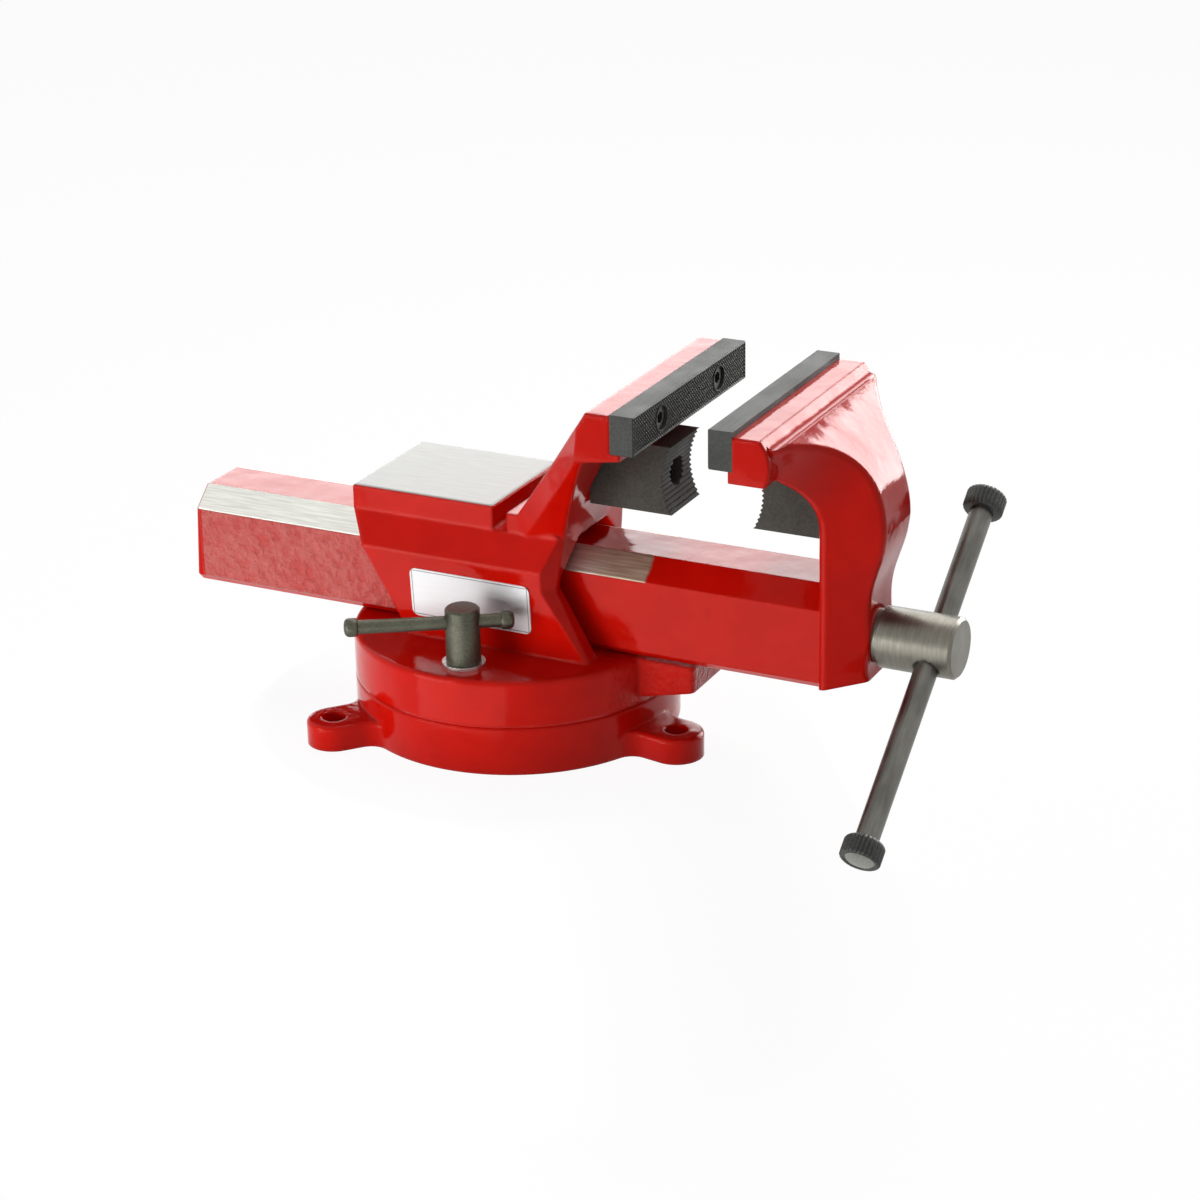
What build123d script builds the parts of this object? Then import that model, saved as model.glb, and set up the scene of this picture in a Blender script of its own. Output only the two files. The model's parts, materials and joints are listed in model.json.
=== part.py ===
from build123d import *
from math import atan2, cos, degrees, hypot, radians, sin
import os

# Swivel bench vise with 150 mm jaws, in millimetres.
# The origin is on the swivel axis at the underside of the base, and +X points to the handle.

# Clearances
slide_clear = 0.12      # between flat faces that slide on each other
run_clear = 0.05        # radial, a shaft that turns or slides in its bore
seat_clear = 0.02       # radial, a pin or screw fixed in its hole
hole_clear = 0.4        # radial, a screw passing through a plain hole
cut_over = 1.0          # how far a cut starts outside the face that it enters
cast_join = 1.0         # how far the forms of one casting run into each other

# Swivel base
base_rim = 21.97        # rim of the base outside the circle of the locks
base_h = 29.0
base_edge = 1.5
ear_count = 3
ear_first_deg = -11.0
ear_reach = 19.3        # circle of the mounting holes outside the base's rim
ear_end_r = 16.0
ear_h = 15.0
ear_root_fillet = 11.0
ear_edge_fillet = 2.5
mount_hole_d = 14.0
base_hub_r = 30.0
base_pocket_r = 54.0
base_top_wall = 10.0

# Swivel pivot
pivot_r = 12.0
pivot_head_r = 18.0
pivot_head_h = 6.0
pivot_recess = 2.0
pivot_reach = 20.0      # how far the pin stands above the base
pivot_end_room = 1.0

# Swivel locks: a stud in the ring slot of the base, a washer, a nut and a sliding lever
lock_x = 4.4
lock_room = 26.6        # lock axis outside the foot of the housing
lock_stud_r = 6.0
lock_stud_stand = 17.0  # stud above the turntable
lock_head_w = 20.0
lock_head_h = 7.5
lock_slot_floor = 8.0
lock_slot_lip = 9.0
lock_slot_room = 2.4    # radial room each side of the stud head
lock_washer_r = 12.5
lock_washer_h = 2.2
lock_nut_r = 10.0
lock_nut_h = 32.5
lock_nut_edge = 1.2
lock_nut_room = 1.0     # over the end of the stud
lever_r = 4.0
lever_z = 25.8          # lever axis above the turntable
lever_turn_deg = 31.6   # lever from the X axis, short end towards the housing
lever_long = 63.0       # nut axis to the middle of the outer cap
lever_short = 25.5
lever_cap_r = 5.4
lever_cap_h = 8.0
lever_cap_grip = 5.0    # how deep the rod sits in its cap
lever_cap_edge = 1.0

# Turntable and its nose, part of the fixed jaw casting
table_h = 28.0
table_edge_fillet = 3.0
nose_tip_x = 126.0
nose_half_w = 27.0
nose_tip_h = 15.5
nose_root_x = 72.0
nose_edge_fillet = 3.0

# Slide beam of the moving jaw
beam_rear_x = -201.0
beam_lean = 3.0         # the foot of the rear end stands this much further back
beam_half_w = 28.1
beam_rise = 1.2         # underside of the beam above the turntable
beam_h = 58.8
beam_chamfer = 12.0
beam_foot_chamfer = 4.0
beam_wall = 10.0
beam_roof = 13.0
beam_root = 4.0         # how far the beam runs into the arm
beam_end_fillet = 2.5

# Housing around the beam
house_foot_half_w = 47.0
house_ridge_half_w = 51.0
house_ridge_h = 52.0    # heights above the turntable
house_waist_h = 71.0
house_ridge_fillet = 4.0
anvil_h = 85.0
anvil_half_w = 41.2
anvil_rear_x = -83.0
anvil_front_x = 8.0
anvil_edge_fillet = 1.5
house_rear_foot_x = -45.0
house_front_x = 51.5    # front of the housing under the tower, and the front's half-widths from foot to top
house_front_half_w = 38.5
house_bend_set = 3.5
house_bend_h = 41.0
house_bend_half_w = 42.0
house_foot_ahead = 19.0
house_front_foot_half_w = 45.0
house_corner_l = 13.4   # slanted front corners, along the housing and across
house_corner_w = 20.0
groove_front_x = 17.0
groove_floor_h = 71.0
ledge_h = 82.0
tower_foot_set = 2.0    # back of the tower's foot inside the ledge
tower_back_taper = 15.0
tower_corner_r = 2.0
tower_sink = 3.0        # foot of the tower below the waist
tower_bar_join = 2.0    # top of the flare inside the bar
tower_back_inset = 2.0  # back edge inside the side face, at the foot and at the bar
tower_top_inset = 14.0
tower_flare_power = 1.3
tower_lean_power = 1.25
ledge_join = 4.0        # ledge behind the tower, inside it
tower_bar_set = 5.3     # front of the flare at the bar, ahead of the bar's back
tower_end_set = 0.8     # flare inside the bar's ends and below its top
mouth_wall = 9.5        # beside the mouth, at the foot of the front and at its bend
mouth_bend_wall = 4.5
mouth_bend_rise = 6.0   # widest place of the mouth above the bend
mouth_top_room = 2.0
mouth_depth = 30.0
mouth_fillet = 7.0
roof_room = 6.0         # over the top of the beam

# Jaws
jaw_half_w = 75.0
jaw_rise = 102.08       # top of the jaws above the beam
plate_h = 22.4
plate_t = 14.2
jaw_open = 43.6         # gap between the plates as drawn
jaw_overhang = 61.9     # face of the fixed plate ahead of the housing
fixed_bar_h = 30.0
fixed_bar_drop = 1.0    # bar top below the plate top
fixed_bar_back = 23.0   # plate seat to the back of the bar
fixed_bar_top_w = 15.0
fixed_bar_slope_h = 10.0
fixed_bar_slope_set = 2.0
fixed_lip = 5.7         # ledge that carries the plate
fixed_lip_tip = 4.0
moving_bar_h = 26.2
moving_bar_drop = 3.2
moving_bar_back = 18.5
moving_bar_top_set = 3.0
moving_bar_bulge = 2.0
moving_bar_bulge_rise = 4.0
valley_r = 6.0          # hollow between the moving bar and the arm
valley_set = 3.8
valley_rise = 1.0
moving_lip = 2.5
bar_edge_fillet = 1.5
plate_screw_y = 38.0
plate_edge = 0.6

# Screws of the jaw plates and the pipe jaws
socket_share = 0.55     # hexagon socket, as a share of the screw's head
plate_screw_r = 4.0
plate_screw_head_r = 6.5
plate_screw_head_h = 6.0
plate_screw_grip = 14.0
plate_screw_sink = 1.5
pipe_screw_r = 5.0
pipe_screw_head_r = 8.0
pipe_screw_head_h = 8.0
pipe_screw_grip = 9.0
pipe_screw_sink = 12.0
screw_end_room = 1.0

# Pipe jaws
pipe_half_w = 19.0
pipe_drop = 52.8        # foot of the pipe jaws below the plates
pipe_h = 40.0
pipe_fixed_set = 3.8    # tips of the toothed faces behind the faces of the plates
pipe_moving_set = 2.0
pipe_seat_ahead = 7.4   # seat of the fixed pipe jaw ahead of the housing
pipe_throat_set = 2.0   # seat of the moving pipe jaw ahead of the throat
pipe_recess_room = 9.0  # beside the fixed pipe jaw
pipe_hollow = 5.2       # depth of the hollow in the toothed face
pipe_teeth = 14
pipe_tooth_depth = 1.3
pipe_pocket_clear = 0.3
pipe_slant = 13.0       # slanted upper back
pipe_slant_h = 17.0

# Arm of the moving jaw
throat_depth = 45.0     # face of the moving plate to the throat
arm_depth = 26.0
arm_half_w = 32.5
arm_nose_half_w = 17.5
arm_curl_nose_half_w = 20.0
arm_crest_set = 1.74    # top of the arm below the top of the bar
arm_curl_deg = 77.0
arm_throat_r = 22.0     # throat side of the curl, at its start and where it meets the bar
arm_throat_end_r = 39.5
arm_outer_r = 57.3
arm_outer_end_r = 63.9
arm_foot_rise = 5.0
arm_flare_power = 2.6
arm_edge_flare_power = 3.8
arm_edge_set = 1.0      # outer and throat edges inside the end of the bar
arm_throat_set = 13.5
spot_face_clear = 1.0
arm_edge_fillet = 4.0

# Lead screw, nut and handle
screw_rise = 27.38      # screw axis above the turntable
screw_r = 13.0
screw_rear_x = -145.0
screw_head_r = 17.5
screw_head_l = 44.0
screw_end_chamfer = 2.0
screw_head_edge = 1.6
thrust_washer_r = 15.5
thrust_washer_t = 3.0
screw_collar_r = 17.0
screw_collar_l = 14.0
screw_collar_wall = 26.0  # arm wall between the collar and the front face
collar_pin_r = 2.5
collar_pin_sink = 0.5
nut_half_l = 40.0
nut_half_w = 15.0
nut_roof = 5.0          # metal above the screw
nut_bolt_x = 28.0
nut_bolt_r = 5.0
nut_bolt_head_r = 8.0
nut_bolt_head_h = 8.0
nut_bolt_grip = 11.0
nut_bolt_sink = 0.5
handle_r = 6.7
handle_turn_deg = 37.2
handle_from_face = 15.0   # handle axis behind the front face of the head
handle_up = 95.0          # screw axis to the middle of the upper cap
handle_down = 131.5
handle_cap_r = 11.6
handle_cap_h = 13.0
handle_cap_edge = 1.5
handle_cap_grip = 9.0

# Name plate, left blank
label_x = -3.5
label_w = 77.0
label_h = 30.0
label_t = 0.8
label_foot_h = 13.5
label_corner = 4.0

# Places that follow from the sizes above
table_top = base_h + slide_clear + table_h
beam_foot = table_top + beam_rise
beam_top = beam_foot + beam_h
lock_y = house_foot_half_w + lock_room
lock_circle_r = hypot(lock_x, lock_y)
base_r = lock_circle_r + base_rim
ear_circle_r = base_r + ear_reach
screw_z = table_top + screw_rise
house_waist = table_top + house_waist_h
house_bend_x = house_front_x - house_bend_set
house_front_foot_x = house_front_x + house_foot_ahead
anvil_top = table_top + anvil_h
jaw_top_z = beam_top + jaw_rise
fixed_face_x = house_front_x + jaw_overhang
moving_face_x = fixed_face_x + jaw_open
throat_x = moving_face_x + throat_depth
arm_front_x = throat_x + arm_depth
fixed_seat_x = fixed_face_x - plate_t
moving_seat_x = moving_face_x + plate_t
plate_foot = jaw_top_z - plate_h
fixed_bar_top = jaw_top_z - fixed_bar_drop
fixed_bar_foot = fixed_bar_top - fixed_bar_h
moving_bar_top = jaw_top_z - moving_bar_drop
moving_bar_foot = moving_bar_top - moving_bar_h
arm_curl_z = moving_bar_top - arm_crest_set - arm_outer_end_r * sin(radians(arm_curl_deg))
plate_mid_z = jaw_top_z - plate_h / 2
pipe_foot_z = plate_foot - pipe_drop
pipe_mid_z = pipe_foot_z + pipe_h / 2
pipe_fixed_x = fixed_face_x - pipe_fixed_set
pipe_fixed_seat_x = house_front_x + pipe_seat_ahead
pipe_moving_x = moving_face_x + pipe_moving_set
pipe_moving_seat_x = throat_x - pipe_throat_set
screw_shoulder_x = arm_front_x + thrust_washer_t
screw_face_x = screw_shoulder_x + screw_head_l
handle_x = screw_face_x - handle_from_face
beam_cavity_x = arm_front_x - screw_collar_wall
nut_bolt_seat = base_h + slide_clear + nut_bolt_sink + nut_bolt_head_h


def rod(radius, start, along, length):
    """A round bar from a point along a direction."""
    upwards = (Align.CENTER, Align.CENTER, Align.MIN)
    return Plane(origin=start, z_dir=along) * Cylinder(radius, length, align=upwards)


def side_prism(points, half_w):
    """A closed outline in X and Z, extruded to both sides of the middle plane."""
    outline = make_face(Polyline(*[(x, 0, z) for x, z in points], close=True))
    return extrude(outline, half_w, both=True)


def cross_prism(points, x_from, x_to):
    """A closed outline in Y and Z, extruded along X."""
    outline = make_face(Polyline(*[(x_from, y, z) for y, z in points], close=True))
    return extrude(outline, x_to - x_from, dir=(1, 0, 0))


def mirrored(points):
    """An outline given on the +Y side from foot to top, closed by its mirror image."""
    return [*points, *[(-y, z) for y, z in reversed(points)]]


def socket_screw(head_r, head_h, shank_r, shank_l, under_head, into):
    """A socket head screw: under_head is the seat of the head, into points down the shank."""
    into = Vector(*into)
    seat = Vector(*under_head)
    top = seat - into * head_h
    screw = rod(head_r, top, into, head_h) + rod(shank_r, seat, into, shank_l)
    socket = Plane(origin=top, z_dir=into) * RegularPolygon(head_r * socket_share, 6)
    return screw - extrude(socket, head_h * socket_share)


def swivel_base():
    outline = Circle(base_r)
    for i in range(ear_count):
        turn = Rot(0, 0, ear_first_deg + i * 360 / ear_count)
        outline += turn * Pos(ear_circle_r / 2, 0) * Rectangle(ear_circle_r, 2 * ear_end_r)
        outline += turn * Pos(ear_circle_r, 0) * Circle(ear_end_r)
    roots = [v for v in outline.vertices() if abs(hypot(v.X, v.Y) - base_r) < 0.01]
    outline = fillet(roots, ear_root_fillet)
    ears = extrude(outline, ear_h)
    ears = fillet(ears.edges().group_by(Axis.Z)[-1], ear_edge_fillet)
    drum = rod(base_r, (0, 0, 0), (0, 0, 1), base_h)
    drum = chamfer(drum.edges().group_by(Axis.Z)[-1], base_edge)
    base = ears + drum
    for i in range(ear_count):
        turn = Rot(0, 0, ear_first_deg + i * 360 / ear_count)
        base -= turn * Pos(ear_circle_r, 0) * Cylinder(mount_hole_d / 2, 3 * ear_h)
    base -= ring(base_hub_r, base_pocket_r, -cut_over, base_h - base_top_wall)
    neck = lock_stud_r + hole_clear
    head = lock_head_w / 2 + lock_slot_room
    lip_foot = base_h - lock_slot_lip
    base -= ring(lock_circle_r - neck, lock_circle_r + neck, lip_foot - cut_over, base_h + cut_over)
    base -= ring(lock_circle_r - head, lock_circle_r + head, lock_slot_floor, lip_foot)
    base -= Pos(0, 0, base_h / 2) * Cylinder(pivot_r + seat_clear, 2 * base_h)
    head_seat = pivot_recess + pivot_head_h
    base -= rod(pivot_head_r + seat_clear, (0, 0, -cut_over), (0, 0, 1), cut_over + head_seat)
    return base


def ring(inner_r, outer_r, z_from, z_to):
    """A flat ring about the swivel axis."""
    outline = Circle(outer_r) - Circle(inner_r)
    return extrude(Pos(0, 0, z_from) * outline, z_to - z_from)


def pivot_pin():
    seat = pivot_recess + pivot_head_h
    pin = rod(pivot_head_r, (0, 0, pivot_recess), (0, 0, 1), pivot_head_h)
    pin += rod(pivot_r, (0, 0, seat), (0, 0, 1), base_h + pivot_reach - seat)
    return chamfer(pin.edges().group_by(Axis.Z)[-1], base_edge)


def housing():
    """The hexagonal tube that carries the beam, with the anvil on top and leaning ends."""
    section = mirrored([
        (house_foot_half_w, table_top - cast_join),
        (house_ridge_half_w, table_top + house_ridge_h),
        (anvil_half_w, house_waist),
        (anvil_half_w, anvil_top),
    ])
    tube = cross_prism(section, anvil_rear_x - cut_over, house_front_foot_x)
    lengthwise = tube.edges().filter_by(Axis.X)
    ridges = [e for e in lengthwise if abs(abs(e.center().Y) - house_ridge_half_w) < 0.01]
    tube = fillet(ridges, house_ridge_fillet)
    sides = side_prism([
        (house_rear_foot_x, table_top - cast_join),
        (anvil_rear_x, house_waist),
        (anvil_rear_x, anvil_top),
        (anvil_front_x, anvil_top),
        (anvil_front_x, table_top + groove_floor_h),
        (groove_front_x, table_top + groove_floor_h),
        (groove_front_x, table_top + ledge_h),
        (tower_back_x(table_top + ledge_h) + ledge_join, table_top + ledge_h),
        (house_front_x, house_waist),
        (house_front_foot_x, house_waist),
        (house_front_foot_x, table_top - cast_join),
    ], 2 * house_ridge_half_w)
    house = tube & sides & housing_front()
    return fillet(house.edges().group_by(Axis.Z)[-1], anvil_edge_fillet)


def housing_front():
    """All that lies behind the housing's bent front and its slanted corners, wider than the housing."""
    front = [
        (house_front_foot_x, house_front_foot_half_w, table_top - cast_join),
        (house_bend_x, house_bend_half_w, table_top + house_bend_h),
        (house_front_x, house_front_half_w, house_waist - tower_sink),
        (house_front_x, house_front_half_w, anvil_top + cut_over),
    ]
    outlines = []
    for x, half_w, z in front:
        corner = (x - house_corner_l, half_w + house_corner_w)
        rear = (2 * anvil_rear_x, half_w + house_corner_w)
        outlines.append(plan_outline([(x, half_w), corner, rear], z))
    return loft(outlines, ruled=True)


def tower_back_x(z):
    """Back of the jaw tower at a height: a straight slope from the groove up to the bar."""
    rise = (z - house_waist) / (fixed_bar_top - house_waist)
    foot = groove_front_x - tower_foot_set
    top = fixed_seat_x - fixed_bar_top_w
    return foot + (top - foot) * rise


def plan_outline(corners, z):
    """A level outline given on its +Y side and closed by its mirror image."""
    points = [*corners, *[(x, -y) for x, y in reversed(corners)]]
    return make_face(Polyline(*[(x, y, z) for x, y in points], close=True))


def plan_section(corners, z, corner_r):
    """The same with rounded corners."""
    outline = plan_outline(corners, z)
    return fillet(outline.vertices(), corner_r)


def tower():
    """The web that flares from the housing's waist up to the full width of the fixed jaw."""
    foot = house_waist - tower_sink
    height = fixed_bar_foot + tower_bar_join - foot
    lean = fixed_seat_x - fixed_bar_back + tower_bar_set - house_front_x
    top_w = jaw_half_w - tower_end_set
    sections = []
    for lift in (0, 0.25, 0.5, 0.75, 1):
        z = foot + lift * height
        back_x = tower_back_x(z)
        side_x = back_x + tower_back_taper
        flare = lift ** tower_flare_power
        side_w = anvil_half_w + (top_w - anvil_half_w) * flare
        front_w = house_front_half_w + (top_w - house_front_half_w) * flare
        back_w = side_w - tower_back_inset - (tower_top_inset - tower_back_inset) * lift
        lean_x = house_front_x + lean * lift ** tower_lean_power
        front_x = max(lean_x, side_x + 2.5 * tower_corner_r)
        corners = [(front_x, front_w), (side_x, side_w), (back_x, back_w)]
        sections.append(plan_section(corners, z, tower_corner_r))
    web = loft(sections)
    neck = sections[-1]
    crest_z = fixed_bar_top - tower_end_set
    top_x = tower_back_x(crest_z)
    middle_z = (fixed_bar_top + fixed_bar_foot) / 2
    middle_x = tower_back_x(middle_z)
    shoulder = plan_section([
        (fixed_seat_x - tower_bar_join, top_w),
        (middle_x + 0.5 * tower_back_taper, top_w),
        (middle_x, top_w - 0.5 * tower_back_taper),
    ], middle_z, tower_corner_r)
    crest = plan_section([
        (fixed_seat_x - tower_bar_join, top_w),
        (top_x + tower_corner_r, top_w),
        (top_x, top_w - tower_corner_r),
    ], crest_z, tower_corner_r / 2)
    return web + loft([neck, shoulder, crest])


def fixed_bar():
    """The bar behind the fixed jaw plate, whose sloping foot ends in the ledge under the plate."""
    back_x = fixed_seat_x - fixed_bar_back
    bar = side_prism([
        (fixed_seat_x, fixed_bar_top),
        (fixed_seat_x - fixed_bar_top_w, fixed_bar_top),
        (back_x + fixed_bar_slope_set, fixed_bar_top - fixed_bar_slope_h),
        (back_x, fixed_bar_foot),
        (fixed_seat_x + fixed_lip, plate_foot - fixed_lip_tip),
        (fixed_seat_x + fixed_lip, plate_foot - seat_clear),
        (fixed_seat_x, plate_foot - seat_clear),
    ], jaw_half_w)
    behind = [e for e in bar.edges() if e.center().X < fixed_seat_x - cut_over]
    return fillet(behind, bar_edge_fillet)


def table():
    """The turntable disc and the nose that carries the beam towards the front."""
    foot = base_h + slide_clear
    disc = rod(base_r, (0, 0, foot), (0, 0, 1), table_h)
    disc = fillet(disc.edges().group_by(Axis.Z)[-1], table_edge_fillet)
    nose = side_prism([
        (0, foot),
        (nose_root_x, foot),
        (nose_tip_x, table_top - nose_tip_h),
        (nose_tip_x, table_top),
        (0, table_top),
    ], nose_half_w)
    tip = nose.faces().sort_by(Axis.X)[-1].edges().filter_by(Axis.Z)
    return disc + fillet(tip, nose_edge_fillet)


def beam_outline(grow):
    """Cross-section of the beam in Y and Z, grown evenly by a clearance, with a square foot."""
    half_w = beam_half_w + grow
    foot = beam_foot - grow
    top = beam_top + grow
    shoulder = beam_chamfer + grow * (2 - 2 ** 0.5)
    return mirrored([
        (half_w, foot),
        (half_w, top - shoulder),
        (half_w - shoulder, top),
    ])


def tunnel():
    """The guide for the beam, with room over its top and a wider mouth at the front."""
    far = 2 * house_front_foot_x
    guide = cross_prism(beam_outline(slide_clear), 2 * anvil_rear_x, far)
    foot = beam_foot - slide_clear
    roof_half_w = beam_half_w - beam_chamfer
    roof_outline = mirrored([(roof_half_w, foot), (roof_half_w, beam_top + roof_room)])
    roof = cross_prism(roof_outline, 2 * anvil_rear_x, far)
    mouth = cross_prism(mirrored([
        (house_front_foot_half_w - mouth_wall, foot),
        (house_bend_half_w - mouth_bend_wall, table_top + house_bend_h + mouth_bend_rise),
        (roof_half_w + mouth_top_room, beam_top + roof_room),
    ]), house_front_x - mouth_depth, far)
    arch = [e for e in mouth.edges().filter_by(Axis.X) if e.center().Z > beam_top]
    return guide + roof + fillet(arch, mouth_fillet)


def rear_body():
    body = housing() + tower() + fixed_bar() + table()
    body -= tunnel()
    foot = base_h + slide_clear
    pivot_depth = pivot_reach + pivot_end_room
    body -= rod(pivot_r + run_clear, (0, 0, foot - cut_over), (0, 0, 1), cut_over + pivot_depth)
    for side in (-1, 1):
        below = (lock_x, side * lock_y, foot - cut_over)
        body -= rod(lock_stud_r + hole_clear, below, (0, 0, 1), table_h + 2 * cut_over)
    for x in (-nut_bolt_x, nut_bolt_x):
        below = (x, 0, foot - cut_over)
        body -= rod(nut_bolt_r + hole_clear, below, (0, 0, 1), table_h + beam_rise + 2 * cut_over)
        body -= rod(nut_bolt_head_r + hole_clear, below, (0, 0, 1), nut_bolt_seat - foot + cut_over)
    for side in (-1, 1):
        seat = (fixed_seat_x, side * plate_screw_y, plate_mid_z)
        body -= rod(plate_screw_r + seat_clear, seat, (-1, 0, 0), plate_screw_grip + screw_end_room)
    body -= pipe_jaw_block(pipe_fixed_x, pipe_fixed_seat_x, pipe_pocket_clear, pipe_recess_room)
    mouth = (pipe_fixed_seat_x + pipe_slant, 0, pipe_mid_z)
    body -= rod(pipe_screw_r + seat_clear, mouth, (-1, 0, 0), pipe_slant + pipe_screw_grip + screw_end_room)
    return body


def arm_section(inner, outer, inner_w, outer_w):
    """A trapezoid across the arm, from a point on its throat side to one on its outer side, in X and Z."""
    corners = [(inner[0], -inner_w, inner[1]), (outer[0], -outer_w, outer[1]),
               (outer[0], outer_w, outer[1]), (inner[0], inner_w, inner[1])]
    outline = make_face(Polyline(*corners, close=True))
    return fillet(outline.vertices(), arm_edge_fillet)


def arm():
    """The C-shaped arm: a straight post, and a curl that flares and runs into the jaw bar."""
    curl_x = throat_x - arm_throat_r
    belly = curl_x + arm_outer_r - arm_front_x
    post = []
    for step in (0, 0.2, 0.4, 0.55, 0.7, 0.85, 1):
        z = beam_foot + step * (arm_curl_z - beam_foot)
        rise = max(0, 2 * step - 1)
        swell = rise * rise * (3 - 2 * rise)
        outer = (arm_front_x + belly * swell, z + arm_foot_rise * (1 - step))
        outer_w = arm_nose_half_w + (arm_curl_nose_half_w - arm_nose_half_w) * swell
        post.append(arm_section((throat_x, z), outer, arm_half_w, outer_w))
    curl = []
    throat_flare = jaw_half_w - arm_throat_set - arm_half_w
    edge_flare = jaw_half_w - arm_edge_set - arm_curl_nose_half_w
    for turn in (0, 0.2, 0.4, 0.6, 0.8, 1):
        along = Vector(cos(radians(arm_curl_deg * turn)), sin(radians(arm_curl_deg * turn)))
        centre = Vector(curl_x, arm_curl_z)
        inner = centre + along * (arm_throat_r + (arm_throat_end_r - arm_throat_r) * turn ** arm_flare_power)
        outer = centre + along * (arm_outer_r + (arm_outer_end_r - arm_outer_r) * turn ** 2)
        inner_w = arm_half_w + throat_flare * turn ** arm_flare_power
        outer_w = arm_curl_nose_half_w + edge_flare * turn ** arm_edge_flare_power
        curl.append(arm_section((inner.X, inner.Y), (outer.X, outer.Y), inner_w, outer_w))
    root_x = moving_seat_x + moving_bar_back / 2
    root = arm_section((root_x, inner.Y), (root_x, outer.Y), inner_w, outer_w)
    return loft(post) + loft(curl) + loft([curl[-1], root])


def moving_bar():
    """The bar behind the moving jaw plate, with a rounded back and a small ledge."""
    back_x = moving_seat_x + moving_bar_back
    top, foot = moving_bar_top, moving_bar_foot
    lip_top = plate_foot - seat_clear
    outline = Polyline(
        (back_x, 0, foot),
        (moving_seat_x - moving_lip, 0, foot),
        (moving_seat_x - moving_lip, 0, lip_top),
        (moving_seat_x, 0, lip_top),
        (moving_seat_x, 0, top),
        (back_x - moving_bar_top_set, 0, top),
    )
    bulge = (back_x + moving_bar_bulge, 0, (top + foot) / 2 + moving_bar_bulge_rise)
    back = ThreePointArc((back_x - moving_bar_top_set, 0, top), bulge, (back_x, 0, foot))
    bar = extrude(make_face(outline + back), jaw_half_w, both=True)
    behind = [e for e in bar.edges() if e.center().X > moving_seat_x + cut_over]
    return fillet(behind, bar_edge_fillet)


def beam():
    """The slide beam, a thick channel open underneath with a leaning rear end."""
    front_x = throat_x + beam_root
    bar = cross_prism(beam_outline(0), beam_rear_x - beam_lean, front_x)
    bar = chamfer(bar.edges().filter_by(Axis.X).group_by(Axis.Z)[0], beam_foot_chamfer)
    sides = side_prism([
        (beam_rear_x - beam_lean, beam_foot),
        (beam_rear_x, beam_top),
        (front_x, beam_top),
        (front_x, beam_foot),
    ], 2 * beam_half_w)
    bar = bar & sides
    return fillet(bar.faces().sort_by(Axis.X)[0].edges(), beam_end_fillet)


def sliding_jaw():
    jaw = beam() + arm() + moving_bar()
    valley_x = moving_seat_x + moving_bar_back + valley_set
    valley_from = (valley_x, -2 * jaw_half_w, moving_bar_top + valley_rise)
    jaw -= rod(valley_r, valley_from, (0, 1, 0), 4 * jaw_half_w)
    hollow = beam_half_w - beam_wall
    jaw -= cross_prism(mirrored([(hollow, beam_foot - cut_over), (hollow, beam_top - beam_roof)]),
                       2 * beam_rear_x, beam_cavity_x)
    jaw -= rod(screw_r + run_clear, (0, 0, screw_z), (1, 0, 0), 2 * arm_front_x)
    jaw -= rod(screw_head_r + spot_face_clear, (arm_front_x, 0, screw_z), (1, 0, 0), screw_head_l)
    for side in (-1, 1):
        seat = (moving_seat_x, side * plate_screw_y, plate_mid_z)
        jaw -= rod(plate_screw_r + seat_clear, seat, (1, 0, 0), plate_screw_grip + screw_end_room)
    jaw -= pipe_jaw_block(pipe_moving_x, pipe_moving_seat_x, pipe_pocket_clear, pipe_pocket_clear)
    mouth = (pipe_moving_seat_x - pipe_slant, 0, pipe_mid_z)
    jaw -= rod(pipe_screw_r + seat_clear, mouth, (1, 0, 0), pipe_slant + pipe_screw_grip + screw_end_room)
    return jaw


def jaw_plate(face_x, back):
    """A jaw plate with two counterbored holes; back is +1 or -1 along X, from the face into the bar."""
    middle = face_x + back * plate_t / 2
    plate = Pos(middle, 0, plate_mid_z) * Box(plate_t, 2 * jaw_half_w, plate_h)
    plate = chamfer(plate.edges(), plate_edge)
    for side in (-1, 1):
        hole = (face_x - back * cut_over, side * plate_screw_y, plate_mid_z)
        sink = cut_over + plate_screw_sink + plate_screw_head_h
        plate -= rod(plate_screw_r + hole_clear, hole, (back, 0, 0), plate_t + 2 * cut_over)
        plate -= rod(plate_screw_head_r + hole_clear, hole, (back, 0, 0), sink)
    return plate


def plate_screw(face_x, back, side):
    sink = plate_screw_sink + plate_screw_head_h
    under_head = (face_x + back * sink, side * plate_screw_y, plate_mid_z)
    shank = plate_t - sink + plate_screw_grip
    into = (back, 0, 0)
    return socket_screw(plate_screw_head_r, plate_screw_head_h, plate_screw_r, shank, under_head, into)


def pipe_jaw_block(tip_x, seat_x, room, side_room):
    """The plain block of a pipe jaw with a slanted upper back, grown above and below, and at its sides."""
    back = 1 if seat_x > tip_x else -1
    foot = pipe_foot_z - room
    top = pipe_foot_z + pipe_h + room
    return side_prism([
        (tip_x, foot),
        (seat_x, foot),
        (seat_x, top - pipe_slant_h),
        (seat_x - back * pipe_slant, top),
        (tip_x, top),
    ], pipe_half_w + side_room)


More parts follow.
